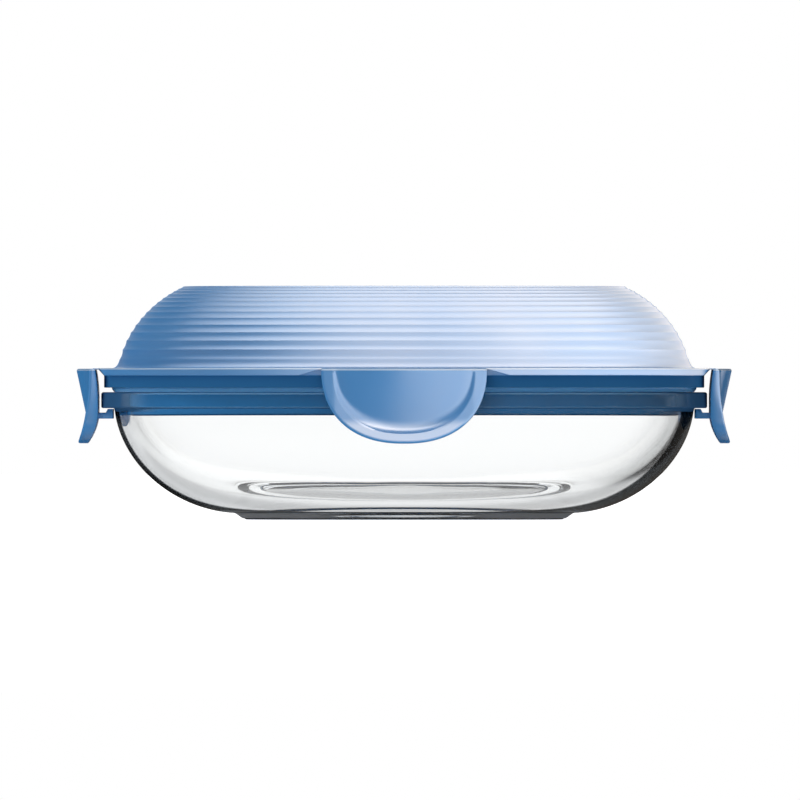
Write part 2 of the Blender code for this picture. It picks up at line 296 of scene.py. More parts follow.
def foot_profile():
    """From the end of the outer wall down the step of the foot and under it."""
    top_half = 65.4
    bottom_half, bottom_z = FOOT_HALF + 0.3, 0.35
    edge_round = 0.45
    steps = 10
    points = []
    for i in range(1, steps):
        share = i / steps
        drop = (1.0 - math.cos(math.pi * share)) / 2.0
        half = top_half + (bottom_half - top_half) * share
        points.append((half, OUTER_WALL_FOOT - (OUTER_WALL_FOOT - bottom_z) * drop))
    points += arc((FOOT_HALF - 0.3, edge_round), edge_round, -20.0, -90.0, 4)
    ring_inner = FOOT_HALF - FOOT_RING_WIDTH
    points += [(ring_inner + 0.3, 0.0), (ring_inner, 0.06)]
    points += [(ring_inner - 0.5, FOOT_RECESS - 0.3), (ring_inner - 1.0, FOOT_RECESS)]
    points += [(30.0, FOOT_RECESS)]
    return points


def rim_profile():
    """Over the thick rim, from the top of the inner wall to the neck under the rim."""
    top, under = RIM_TOP - RIM_ROUND, RIM_UNDERSIDE + RIM_UNDER_ROUND
    inner = INNER_WALL[0] + INNER_WALL[1] + RIM_ROUND
    neck = wall_half(RIM_UNDERSIDE, OUTER_WALL) + NECK_ROUND
    points = arc((inner, top), RIM_ROUND, 180.0, 90.0, 6)
    points += arc((RIM_HALF - RIM_ROUND, top), RIM_ROUND, 90.0, 0.0, 6)
    points += arc((RIM_HALF - RIM_UNDER_ROUND, under), RIM_UNDER_ROUND, 0.0, -90.0, 6)
    points += arc((neck, RIM_UNDERSIDE - NECK_ROUND), NECK_ROUND, 90.0, 180.0, 4)
    return points


def build_glass():
    profile = [(CENTRE_HALF, FLOOR)]
    profile += wall_profile(INNER_WALL, FLOOR, WALL_TOP)
    profile += rim_profile()
    profile += wall_profile(OUTER_WALL, OUTER_WALL_FOOT, RIM_UNDERSIDE - 1.0)[::-1]
    profile += foot_profile()
    return skin("dish_glass", [ring(half, z) for half, z in profile], sharp_angle=60.0)


# ---------------------------------------------------------------- lid


def dome_point(angle, inset):
    """Point of the dome's side profile, moved inwards along its normal by inset."""
    c, s = math.cos(angle), math.sin(angle)
    normal = Vector((c / DOME_RADII[0], s / DOME_RADII[1])).normalized()
    half = DOME_CENTRE[0] + DOME_RADII[0] * c - inset * normal.x
    return half, DOME_CENTRE[1] + DOME_RADII[1] * s - inset * normal.y


def rib_angles():
    """Angles of the crests between ribs, from the lid's top edge down."""
    growth = (LAST_RIB_PITCH - FIRST_RIB_PITCH) / (RIB_COUNT - 1)
    pitches = [FIRST_RIB_PITCH + growth * i for i in range(RIB_COUNT)]
    turn = (DOME_BOTTOM_ANGLE - DOME_TOP_ANGLE) / sum(pitches)
    return [DOME_TOP_ANGLE + turn * sum(pitches[:i]) for i in range(RIB_COUNT + 1)]


def dome_profile():
    """Outer side of the dome: shallow scallops that meet in crisp ribs."""
    angles = rib_angles()
    profile = [dome_point(angles[0], 0.0)]
    for upper, lower in zip(angles, angles[1:]):
        depth = RIB_DEPTH_PER_RADIAN * (upper - lower)
        for i in range(1, RIB_STEPS + 1):
            share = i / RIB_STEPS
            bow = 1.0 - (2.0 * share - 1.0) ** 2
            profile.append(dome_point(upper + share * (lower - upper), depth * bow))
    return profile


def dome_foot():
    """Concave sweep from the lowest rib out to the flange's top face."""
    start = dome_point(DOME_BOTTOM_ANGLE, 0.0)
    corner = (109.25, FLANGE_TOP + 0.02)
    end = (111.4, FLANGE_TOP)
    steps = 10
    points = []
    for i in range(1, steps + 1):
        t = i / steps
        weights = ((1 - t) ** 2, 2 * t * (1 - t), t * t)
        half = sum(w * point[0] for w, point in zip(weights, (start, corner, end)))
        z = sum(w * point[1] for w, point in zip(weights, (start, corner, end)))
        points.append((half, z))
    return points


def flange_side(x, y):
    """Distance along the hinge line of the side a flange point is on, and the way out."""
    if abs(x) / FLANGE_HALF > abs(y) / (FLANGE_HALF - RIM_DROP):
        return abs(y), (math.copysign(1.0, x), 0.0)
    return abs(x), (0.0, math.copysign(1.0, y))


def flange_ring(reach, z_plain, part="edge"):
    """Ring of the flange, moved outwards from its outline by reach and straight along each
    hinge. On the "underside", z follows the slanted notches beside the latches. The "root"
    is where the underside meets the skirt, except along the hinges."""
    film_bottom = HINGE_Z - 0.2
    hinge_share, notch_share = 0.97, 0.92
    points = []
    for turn in TURNS:
        x, y = outline_point(FLANGE_HALF, turn)
        along, out = flange_side(x, y)
        in_hinge = along < LATCH_HALF_WIDTH
        if in_hinge and out[0]:
            x = out[0] * (FLANGE_HALF - HINGE_INSET)
        elif in_hinge:
            y = out[1] * (FLANGE_HALF - RIM_DROP - HINGE_INSET)
        cut = 0.0
        if part != "edge":
            slant = (NOTCH_HALF_WIDTH - along) / (NOTCH_HALF_WIDTH - LATCH_HALF_WIDTH)
            cut = min(max(slant, 0.0), 1.0)
        if part == "root":
            skirt_x, skirt_y = outline_point(SKIRT_HALF + 0.05, turn)
            share = hinge_share if in_hinge else cut * notch_share
            x = skirt_x + (x - skirt_x) * share
            y = skirt_y + (y - skirt_y) * share
        grow = 1.0 + reach / math.hypot(x, y)
        points.append((x * grow, y * grow, z_plain + (film_bottom - z_plain) * cut))
    return points


def flange_rings():
    """The flange's round upper edge, then its underside as far as the skirt."""
    steps = 5
    rings = []
    for i in range(steps + 1):
        angle = math.radians(90.0 * (1.0 - i / steps))
        reach = FLANGE_ROUND * (math.cos(angle) - 1.0)
        rings.append(flange_ring(reach, FLANGE_TOP - FLANGE_ROUND * (1.0 - math.sin(angle))))
    rings.append(flange_ring(0.0, FLANGE_UNDERSIDE + 0.25, "underside"))
    rings.append(flange_ring(-0.2, FLANGE_UNDERSIDE, "underside"))
    rings.append(flange_ring(0.0, FLANGE_UNDERSIDE, "root"))
    return rings


def plug_profile():
    """Down the skirt, across the seal's groove, down the plug wall and up inside it."""
    inner = PLUG_HALF - PLUG_THICKNESS
    low = PLUG_BOTTOM + PLUG_ROUND
    profile = [(SKIRT_HALF, FLANGE_UNDERSIDE - 0.05)]
    profile += arc((SKIRT_HALF - 0.3, SKIRT_BOTTOM + 0.3), 0.3, 0.0, -90.0, 3)
    profile += arc((GROOVE_OUTER + 0.2, SKIRT_BOTTOM + 0.2), 0.2, -90.0, -180.0, 2)
    profile += [(GROOVE_OUTER, GROOVE_TOP), (GROOVE_INNER, GROOVE_TOP)]
    profile += [(GROOVE_INNER, SKIRT_BOTTOM), (PLUG_HALF + 0.4, SKIRT_BOTTOM)]
    profile += [(PLUG_HALF, SKIRT_BOTTOM - 0.4)]
    profile += arc((PLUG_HALF - PLUG_ROUND, low), PLUG_ROUND, 0.0, -90.0, 4)
    profile += arc((inner + PLUG_ROUND, low), PLUG_ROUND, -90.0, -180.0, 4)
    profile += [(inner, FLANGE_UNDERSIDE - 2.0), (inner + 0.3, FLANGE_UNDERSIDE)]
    return profile


def ceiling_profile(top_edge):
    """Smooth inside of the dome, up to its flat top."""
    steps = 24
    rise = (DOME_TOP_ANGLE - CEILING_BOTTOM_ANGLE) / steps
    profile = []
    for i in range(steps + 1):
        profile.append(dome_point(CEILING_BOTTOM_ANGLE + rise * i, LID_THICKNESS))
    underside = LID_TOP - LID_THICKNESS
    return profile + [(top_edge - 4.0, underside), (CENTRE_HALF, underside)]


def build_lid():
    dome = dome_profile()
    top_edge = dome[0][0]
    top = [(CENTRE_HALF, LID_TOP), (top_edge - 1.6, LID_TOP), (top_edge - 0.9, LID_TOP - 0.02)]
    rings = [ring(half, z) for half, z in top + dome + dome_foot()]
    rings += flange_rings()
    rings += [ring(half, z) for half, z in plug_profile() + ceiling_profile(top_edge)]
    return skin("ribbed_lid", rings, sharp_angle=22.0)


def build_seal():
    """Soft ring: a root in the lid's groove and a lip just over the glass rim."""
    outer = SEAL_HIGH.x
    inner = GROOVE_INNER + 0.3
    lip = RIM_TOP + 0.03
    profile = [(outer, SEAL_HIGH.z), (outer, SKIRT_BOTTOM - 0.4), (outer - 0.15, lip + 0.9)]
    profile += [(outer - 0.5, lip + 0.45), (outer - 0.75, lip + 0.15), (outer - 1.0, lip)]
    profile += [(inner + 0.5, lip), (inner + 0.15, lip + 0.15), (inner, lip + 0.5)]
    profile += [(inner, SEAL_HIGH.z)]
    return skin("seal_ring", [ring(half, z) for half, z in profile], loop=True, sharp_angle=50.0)


# ---------------------------------------------------------------- latches


def d_radius(u, depth, half_width, height):
    """1 on the D-shaped outline with this half width and height, 0 at its top centre."""
    power = LATCH_SQUARENESS
    return ((np.abs(u) / half_width) ** power + (depth / height) ** power) ** (1.0 / power)


def scoop_radius(u, depth):
    """1 on the edge of the thumb scoop, 0 at its top centre."""
    return d_radius(u, depth, SCOOP_HALF_WIDTH, SCOOP_HEIGHT)


def border_reach(u, depth):
    """How far the border round the scoop stands out from the hinge line."""
    lip = (depth / LATCH_HEIGHT) ** 3
    reach = LATCH_BORDER_REACH + (LATCH_LIP_REACH - LATCH_BORDER_REACH) * lip
    return reach + 0.6 - 0.125 * np.maximum(np.abs(u) - SCOOP_HALF_WIDTH, 0.0)


def scoop_reach(u, depth):
    """Floor of the scoop: leans in towards its lower end and is crowned across."""
    crown = 5.1 - 0.11 * depth
    return LATCH_TOP_REACH - 0.216 * depth - crown * (u / SCOOP_HALF_WIDTH) ** 2


def latch_outer_reach(u, depth):
    """Scoop floor, then a wall that steepens up to the border, wider at the lower end."""
    widening = (SCOOP_UPPER_WALL_START - SCOOP_WALL_START) * smooth_step(7.0, 20.0, depth)
    wall_start = SCOOP_UPPER_WALL_START - widening
    up_wall = np.clip((scoop_radius(u, depth) - wall_start) / (1.0 - wall_start), 0.0, 1.0)
    border = up_wall**1.7
    return scoop_reach(u, depth) * (1.0 - border) + border_reach(u, depth) * border


def latch_inner_reach(depth):
    """Back of the latch, curving outwards at its top and below the hook bar."""
    upper = 1.1 * np.clip(1.0 - depth / 12.0, 0.0, 1.0) ** 2
    lower = 4.0 * (np.maximum(depth - 16.4, 0.0) / 12.0) ** 2
    return -0.6 + upper + lower


def edge_distance(u, depth):
    """Distance from a point of the D to its outline, straight top included."""
    power = LATCH_SQUARENESS
    radius = np.maximum(d_radius(u, depth, LATCH_HALF_WIDTH, LATCH_HEIGHT), 1e-6)
    steepness = radius ** (1.0 - power)
    slope_u = (np.abs(u) / LATCH_HALF_WIDTH) ** (power - 1.0) / LATCH_HALF_WIDTH
    slope_d = (depth / LATCH_HEIGHT) ** (power - 1.0) / LATCH_HEIGHT
    slope = np.maximum(steepness * np.hypot(slope_u, slope_d), 1e-6)
    return np.minimum(np.maximum(1.0 - radius, 0.0) / slope, depth)


def edge_round(distance, radius):
    """How much a round edge of this radius lowers the face near its outline."""
    into = np.clip(radius - distance, 0.0, radius)
    return radius - np.sqrt(np.maximum(radius**2 - into**2, 0.0))


def outer_face(u, depth):
    drop = edge_round(edge_distance(u, depth), LATCH_OUTER_ROUND)
    return latch_outer_reach(u, depth) - drop


def inner_face(u, depth):
    drop = edge_round(edge_distance(u, depth), LATCH_INNER_ROUND)
    return latch_inner_reach(depth) + drop


def latch_outline():
    """Closed D outline as (u, depth): the curved side, then the straight top back."""
    curve, straight = 150, 50
    power = LATCH_SQUARENESS
    points = []
    for i in range(curve + 1):
        turn = math.pi * i / curve
        c, s = math.cos(turn), max(math.sin(turn), 0.0)
        reach = (abs(c) ** power + s**power) ** (-1.0 / power)
        points.append((LATCH_HALF_WIDTH * reach * c, LATCH_HEIGHT * reach * s))
    for i in range(1, straight):
        points.append((LATCH_HALF_WIDTH * (2.0 * i / straight - 1.0), 0.0))
    return np.array(points)


def scoop_share(outline, centre):
    """Share of the way from the centre to each outline point at which the scoop ends."""
    low, high = np.zeros(len(outline)), np.ones(len(outline))
    for _ in range(30):
        middle = (low + high) / 2.0
        plan = centre + middle[:, None] * (outline - centre)
        inside = (scoop_radius(plan[:, 0], plan[:, 1]) < 1.0) & (plan[:, 1] > 1.0)
        low = np.where(inside, middle, low)
        high = np.where(inside, high, middle)
    return low


def ring_shares(outline, centre):
    """Where the latch's rings lie between centre and outline. One follows the scoop's edge."""
    to_scoop = scoop_share(outline, centre)
    within = np.concatenate((np.linspace(0.0, 0.74, 15)[1:], np.linspace(0.76, 1.0, 17)))
    beyond = (0.15, 0.32, 0.5, 0.66, 0.78, 0.84, 0.89, 0.93, 0.96, 0.98, 0.993, 1.0)
    shares = [share * to_scoop for share in within]
    return shares + [to_scoop + (1.0 - to_scoop) * share for share in beyond]


def latch_plate():
    """Points and faces of the latch plate: outer face, rounded edge and inner face."""
    outline = latch_outline()
    centre = np.array((0.0, LATCH_CENTRE_DEPTH))
    shares = ring_shares(outline, centre)
    count = len(outline)
    rings = [(share, outer_face) for share in shares]
    rings += [(share, inner_face) for share in shares[::-1]]
    points = []
    for share, face in rings:
        plan = centre + share[:, None] * (outline - centre)
        u, depth = plan[:, 0], plan[:, 1]
        points.extend(zip(u, -face(u, depth), -depth))
    faces = []
    for k in range(len(rings) - 1):
        faces += ring_faces(k * count, (k + 1) * count, count)
    for k in (0, len(rings) - 1):
        reach = rings[k][1](centre[:1], centre[1:])[0]
        middle = len(points)
        points.append((0.0, -float(reach), -centre[1]))
        for i in range(count):
            faces.append((middle, k * count + (i + 1) % count, k * count + i))
    return points, faces


def set_polish(mesh, polish_of):
    """Stores how polished the mould is at each vertex, from its place on the latch."""
    polish = mesh.attributes.new("polish", "FLOAT", "POINT")
    for vertex, item in zip(mesh.vertices, polish.data):
        item.value = polish_of(vertex.co.x / MM, -vertex.co.y / MM, -vertex.co.z / MM)


def latch_polish(u, reach, depth):
    """Satin on the face, polished at the scoop's lower wall and lip, dull on back and edge."""
    back, satin, polished = 0.05, 0.20, 0.62
    if reach < float(latch_inner_reach(depth)) + 1.0:
        return back
    lower = float(smooth_step(18.5, 22.0, depth))
    border = float(smooth_step(SCOOP_WALL_START, 0.95, float(scoop_radius(u, depth))))
    edge = float(smooth_step(1.3, 0.5, edge_distance(u, depth)))
    satin += 0.04 * border
    return (satin + (polished - satin) * lower * border) * (1.0 - 0.9 * edge * lower)


def hook_bar():
    """Bar behind the latch whose raised inner end catches under the glass rim."""
    bump = RIM_UNDERSIDE - 0.3 - HINGE_Z
    top, bottom = 40.7 - HINGE_Z, 38.4 - HINGE_Z
    outer, inner = 1.2, -6.2
    section = [(outer, top), (outer, bottom), (inner, bottom), (inner, bump)]
    section += [(inner + 2.0, bump), (inner + 2.7, top)]
    points = [(side * HOOK_HALF_WIDTH, -reach, z) for side in (-1, 1) for reach, z in section]
    count = len(section)
    faces = [tuple(range(count)), tuple(range(2 * count - 1, count - 1, -1))]
    faces += ring_faces(0, count, count)
    bar = new_object("hook_bar", points, faces)
    bevel = bar.modifiers.new("round", "BEVEL")
    bevel.width = 0.25 * MM
    bevel.segments = 3
    return bar


def apply_modifiers(item):
    """Replaces an object's mesh with its evaluated one."""
    graph = bpy.context.evaluated_depsgraph_get()
    mesh = bpy.data.meshes.new_from_object(item.evaluated_get(graph))
    item.modifiers.clear()
    item.data = mesh


def latch_mesh():
    """Latch plate and hook bar joined into one closed body, hinge line at the origin."""
    points, faces = latch_plate()
    plate = new_object("latch_plate", points, faces, LATCH_SHARP_ANGLE)
    bar = hook_bar()
    union = plate.modifiers.new("hook", "BOOLEAN")
    union.operation = "UNION"
    union.object = bar
    union.solver = "EXACT"
    apply_modifiers(plate)
    mesh = plate.data
    mesh.shade_smooth()
    mesh.set_sharp_from_angle(angle=math.radians(LATCH_SHARP_ANGLE))
    set_polish(mesh, latch_polish)
    bpy.data.objects.remove(plate)
    bpy.data.objects.remove(bar)
    return mesh


def film_mesh():
    """Thin web across the hinge line, split finely."""
    start, end, steps = -0.9, 1.3, 16
    top, thickness = 0.14, 0.42
    across = 24
    reaches = [start + (end - start) * i / steps for i in range(steps + 1)]
    section = [(reach, top) for reach in reaches]
    section += [(reach, top - thickness) for reach in reaches[::-1]]
    count = len(section)
    points, faces = [], []
    for k in range(across + 1):
        u = FILM_HALF_WIDTH * (2.0 * k / across - 1.0)
        points += [(u, -reach, z) for reach, z in section]
    for k in range(across):
        faces += ring_faces(k * count, (k + 1) * count, count)
    for base in (0, across * count):
        for i in range(steps):
            opposite = base + count - 1 - i
            faces.append((base + i, base + i + 1, opposite - 1, opposite))
    film = new_object("film", points, faces)
    mesh = film.data
    set_polish(mesh, lambda u, reach, depth: 0.3)
    bpy.data.objects.remove(film)
    return mesh


def side_matrix(degrees, shorter_by):
    """Frame of one side's hinge line: X along it, -Y outwards, origin at its middle."""
    turn = Matrix.Rotation(math.radians(degrees), 4, "Z")
    reach = (FLANGE_HALF - shorter_by) * MM
    return turn @ Matrix.Translation((0.0, -reach, HINGE_Z * MM))


def place_copy(name, mesh, matrix):
    item = bpy.data.objects.new(name, mesh.copy())
    item.data.transform(matrix)
    bpy.context.scene.collection.objects.link(item)
    return item


# ---------------------------------------------------------------- materials

GLASS_IOR = 1.473

# Linear colours.
WHITE = (1.0, 1.0, 1.0, 1.0)
PLASTIC_DARK = (0.060, 0.312, 0.725, 1.0)
PLASTIC_LIGHT = (0.068, 0.334, 0.770, 1.0)
# Painted highlight: the pale band on the round top edges of lid and latches.
PAINTED_EDGE_HIGHLIGHT = (0.62, 0.80, 1.00, 1.0)
UNDER_LID_SHADE = (0.0, 0.012, 0.05, 1.0)
LATCH_SIDE_SHADE = (0.02, 0.05, 0.10, 1.0)
SILICONE_CLEAN = (0.100, 0.380, 0.780, 1.0)
SILICONE_DUSTY = (0.115, 0.410, 0.820, 1.0)
GLASS_CLEAR = (0.992, 0.995, 0.994, 1.0)
# Painted shade in the glass: grey where walls are seen at a slant, dark at edges seen edge on
# and under the foot.
GLASS_PAINTED_SLANT_SHADE = (0.36, 0.37, 0.38, 1.0)
GLASS_PAINTED_EDGE_SHADE_LEVEL = (0.03, 0.034, 0.037, 1.0)
GLASS_PAINTED_EDGE_SHADE_FROM_ABOVE = (0.30, 0.34, 0.35, 1.0)
GLASS_PAINTED_FOOT_SHADE = (0.02, 0.02, 0.02, 1.0)
GLASS_SHEEN = (0.95, 0.96, 0.97, 1.0)
# Painted light and shade laid over the glass: a pale sheen, a grey in the foot and the lid's
# blue in the rim.
GLASS_PAINTED_PALE = (0.62, 0.67, 0.69, 1.0)
FOOT_PAINTED_GREY = (0.75, 0.76, 0.78, 1.0)
PAINTED_LID_BLUE_FACING = (0.20, 0.42, 0.68, 1.0)
PAINTED_LID_BLUE_TURNED = (0.016, 0.075, 0.190, 1.0)
WARM_LIGHT = (1.0, 0.88, 0.76, 1.0)


class Nodes:
    """Builds the node tree of a material or a world."""

    def __init__(self, tree):
        self.tree = tree
        tree.nodes.clear()

    def add(self, kind, inputs=None, **settings):
        node = self.tree.nodes.new(kind)
        for key, value in settings.items():
            setattr(node, key, value)
        for key, value in (inputs or {}).items():
            if isinstance(value, bpy.types.NodeSocket):
                self.tree.links.new(value, node.inputs[key])
            else:
                node.inputs[key].default_value = value
        return node

    def maths(self, operation, a, b):
        return self.add("ShaderNodeMath", {0: a, 1: b}, operation=operation).outputs[0]

    def product(self, first, *others):
        for other in others:
            first = self.maths("MULTIPLY", first, other)
        return first

    def largest(self, first, *others):
        for other in others:
            first = self.maths("MAXIMUM", first, other)
        return first

    def total(self, first, *others):
        for other in others:
            first = self.maths("ADD", first, other)
        return first

    def rest_of(self, share):
        return self.maths("SUBTRACT", 1.0, share)

    def span(self, value, low, high, to_low=0.0, to_high=1.0):
        """Smooth step of a value from one range to another."""
        keys = {"Value": value, "From Min": low, "From Max": high}
        keys.update({"To Min": to_low, "To Max": to_high})
        return self.add("ShaderNodeMapRange", keys, interpolation_type="SMOOTHSTEP").outputs[0]

    def rise(self, height, low, high, to_low=0.0, to_high=1.0):
        """The same for a height, between two heights in millimetres."""
        return self.span(height, low * MM, high * MM, to_low, to_high)

    def layer(self, height, low, high, blur):
        """1 between two heights in millimetres."""
        from_low = self.rise(height, low - blur, low + blur)
        return self.product(from_low, self.rise(height, high - blur, high + blur, 1.0, 0.0))

    def choose(self, share, a, b):
        return self.add("ShaderNodeMix", {0: share, 2: a, 3: b}, data_type="FLOAT").outputs[0]

    def mix(self, share, a, b, blend="MIX"):
        settings = {"data_type": "RGBA", "blend_type": blend}
        return self.add("ShaderNodeMix", {0: share, 6: a, 7: b}, **settings).outputs[2]

    def mix_shaders(self, share, a, b):
        inputs = {0: share, 1: a.outputs[0], 2: b.outputs[0]}
        return self.add("ShaderNodeMixShader", inputs)

    def noise(self, scale, detail=2.0, roughness=0.5):
        place = self.add("ShaderNodeTexCoord").outputs["Object"]
        keys = {"Vector": place, "Scale": scale, "Detail": detail, "Roughness": roughness}
        return self.add("ShaderNodeTexNoise", keys).outputs["Fac"]

    def bump(self, height, strength, distance):
        keys = {"Height": height, "Strength": strength, "Distance": distance}
        return self.add("ShaderNodeBump", keys).outputs[0]

    def part_of(self, vector, axis):
        return self.add("ShaderNodeSeparateXYZ", {0: vector}).outputs[axis]

    def height(self):
        """Height above the table in metres."""
        return self.part_of(self.add("ShaderNodeTexCoord").outputs["Object"], "Z")

    def facing(self):
        """0 where a surface faces the camera, 1 where it is seen edge on."""
        return self.add("ShaderNodeLayerWeight", {"Blend": 0.5}).outputs["Facing"]

    def turned(self, vector, kind, start, end):
        settings = {"vector_type": kind, "convert_from": start, "convert_to": end}
        return self.add("ShaderNodeVectorTransform", {0: vector}, **settings).outputs[0]

    def look(self):
        """Direction the camera looks in."""
        return self.turned((0.0, 0.0, 1.0), "VECTOR", "CAMERA", "WORLD")

    def view_tilt(self):
        """How far the camera looks down: 0 when level, 1 from straight above."""
        return self.maths("MULTIPLY", self.part_of(self.look(), "Z"), -1.0)

    def surface(self, shader, kind="ShaderNodeOutputMaterial"):
        self.add(kind, {"Surface": shader.outputs[0]})


def new_material(name):
    material = bpy.data.materials.new(name)
    material.use_nodes = True
    return material, Nodes(material.node_tree)


def moulded_plastic(n, height, highlight_low, highlight_high):
    """Shader inputs of satin polypropylene: faint flow clouding and a fine moulded grain.
    The edge between the two heights gets a painted highlight: a pale band for light caught on
    its round."""
    clouds = n.span(n.noise(22.0, 1.0, 0.4), 0.3, 0.7)
    # Painted highlight: a pale band along the round edge between the two heights.
    painted_edge_highlight = n.product(n.layer(height, highlight_low, highlight_high, 0.05), 0.75)
    colour = n.mix(painted_edge_highlight, n.mix(clouds, PLASTIC_DARK, PLASTIC_LIGHT), PAINTED_EDGE_HIGHLIGHT)
    grain = n.bump(n.noise(900.0, 1.0, 0.5), 0.10, 0.00002)
    rough = n.span(n.noise(60.0), 0.3, 0.7, 0.29, 0.33)
    return {"Base Color": colour, "Normal": grain, "Roughness": rough}


def lid_plastic(name):
    """Below the flange the mould is not polished, and painted shade darkens the skirt, the plug
    wall and most of all the plug's foot.
    """
    material, n = new_material(name)
    height = n.height()
    facing = n.facing()
    keys = moulded_plastic(n, height, FLANGE_TOP - 0.55, FLANGE_TOP - 0.05)
    polished = n.rise(height, FLANGE_UNDERSIDE - 0.3, FLANGE_UNDERSIDE + 0.3)
    unpolished = n.span(polished, 0.0, 1.0, 1.0, 0.0)
    # Painted shade under the flange: strong on the skirt, lighter on the plug wall, strongest at
    # the plug's foot.
    plug = n.rise(height, SKIRT_BOTTOM - 0.5, SKIRT_BOTTOM, 0.30, 0.58)
    plug_foot = n.rise(height, PLUG_BOTTOM + 0.5, PLUG_BOTTOM + 1.0, 0.75, 0.0)
    shade = n.product(n.largest(plug, plug_foot), unpolished)
    keys["Base Color"] = n.mix(shade, keys["Base Color"], UNDER_LID_SHADE)
    keys["Roughness"] = n.total(keys["Roughness"], n.product(unpolished, 0.15))
    on_flange = n.rise(height, FLANGE_TOP - 0.6, FLANGE_TOP + 0.4, 0.38, 0.5)
    keys["Specular IOR Level"] = n.product(on_flange, n.span(polished, 0.0, 1.0, 0.1, 1.0))
    at_outline = n.span(facing, 0.86, 0.97, 3.0, 1.04)
    sheen = n.maths("MINIMUM", n.span(facing, 0.55, 0.98, 3.0, 1.5), at_outline)
    keys["IOR"] = n.choose(polished, 1.15, sheen)
    n.surface(n.add("ShaderNodeBsdfPrincipled", keys))
    return material


def latch_plastic(name):
    """Sheen follows the mould's polish, stored on the mesh, and fades where seen edge on; there
    painted shade also darkens the colour.
    """
    material, n = new_material(name)
    facing = n.facing()
    keys = moulded_plastic(n, n.height(), HINGE_Z - 0.75, HINGE_Z - 0.15)
    polish = n.add("ShaderNodeAttribute", attribute_name="polish").outputs["Fac"]
    keys["Specular IOR Level"] = polish
    keys["IOR"] = n.span(facing, 0.40, 0.80, 3.0, 1.02)
    # Painted shade: the colour darkens where the latch is seen edge on.
    painted_side_shade = n.span(facing, 0.40, 0.80, 0.0, 0.40)
    keys["Base Color"] = n.mix(painted_side_shade, keys["Base Color"], LATCH_SIDE_SHADE)
    n.surface(n.add("ShaderNodeBsdfPrincipled", keys))
    return material


def silicone(name):
    """Soft seal: duller than the lid, with a slightly dusty surface."""
    material, n = new_material(name)
    dust = n.span(n.noise(420.0, 3.0, 0.7), 0.4, 0.75)
    keys = {"Base Color": n.mix(dust, SILICONE_CLEAN, SILICONE_DUSTY)}
    keys["Roughness"] = n.span(dust, 0.0, 1.0, 0.42, 0.55)
    keys["Normal"] = n.bump(dust, 0.06, 0.0003)
    keys["Subsurface Weight"] = 0.15
    keys["Subsurface Scale"] = 0.002
    n.surface(n.add("ShaderNodeBsdfPrincipled", keys))
    return material


def glass_tint_and_painted_shade(n, height, to_edge, seen, looks_down):
    """Colour that light takes through the glass, nearly clear, with painted shade in it: grey
    where the wall is seen at a slant, dark where it is seen edge on, and dark under the foot's
    recess."""
    painted_slant_shade = n.product(n.span(to_edge, 0.26, 0.74, 0.0, 0.50), seen)
    edge = n.product(n.span(to_edge, 0.74, 0.78), seen)
    painted_edge_shade = n.mix(looks_down, GLASS_PAINTED_EDGE_SHADE_LEVEL, GLASS_PAINTED_EDGE_SHADE_FROM_ABOVE)
    clear_and_painted_shade = n.mix(edge, n.mix(painted_slant_shade, GLASS_CLEAR, GLASS_PAINTED_SLANT_SHADE), painted_edge_shade)
    recess_low = n.rise(height, FOOT_RECESS - 0.5, FOOT_RECESS - 0.2)
    recess_high = n.rise(height, FOOT_RECESS + 0.2, FOOT_RECESS + 0.5, 1.0, 0.0)
    unseen = n.span(n.total(seen, looks_down), 0.0, 1.0, 0.45, 0.0)
    return n.mix(n.product(recess_low, recess_high, unseen), clear_and_painted_shade, GLASS_PAINTED_FOOT_SHADE), edge


def glass_painted_layer(n, height, facing, sideways, seen, looks_down):
    """Share and colour of a dull layer of painted light and shade on the glass, for what it
    picks up from round it:
    the lid's blue painted in the rim, darker where turned away and with painted highlight lines,
    a painted grey in the foot, and a painted pale sheen on walls seen from above."""
    on_rim = n.rise(height, RIM_UNDERSIDE - 1.6, RIM_UNDERSIDE - 1.0)
    # Painted highlight lines along the rim's upper and lower edges.
    upper_line = n.layer(height, RIM_TOP - 0.9, RIM_TOP - 0.35, 0.1)
    lower_line = n.layer(height, RIM_UNDERSIDE + 0.2, RIM_UNDERSIDE + 0.6, 0.1)
    painted_highlight_lines = n.total(upper_line, n.product(lower_line, 0.5))
    turned_away = n.span(facing, 0.25, 0.55, 0.0, 0.92)
    rim = n.largest(n.product(turned_away, on_rim), n.product(painted_highlight_lines, 0.6))
    rim = n.product(rim, n.span(looks_down, 0.0, 1.0, 1.0, 0.20), seen)
    rim_colour = n.mix(turned_away, PAINTED_LID_BLUE_FACING, PAINTED_LID_BLUE_TURNED)
    foot = n.span(n.maths("ABSOLUTE", sideways, 0.0), 0.0, 0.20, 0.08, 0.72)
    foot = n.product(n.layer(height, 0.5, 3.4, 0.3), foot, seen)
    colour = n.mix(n.rise(height, 5.0, 6.0), FOOT_PAINTED_GREY, rim_colour)
    painted_pale = n.product(n.span(facing, 0.45, 0.85, 0.0, 0.55), looks_down, seen, n.rest_of(on_rim))
    return n.largest(rim, foot, painted_pale), n.mix(painted_pale, colour, GLASS_PAINTED_PALE)


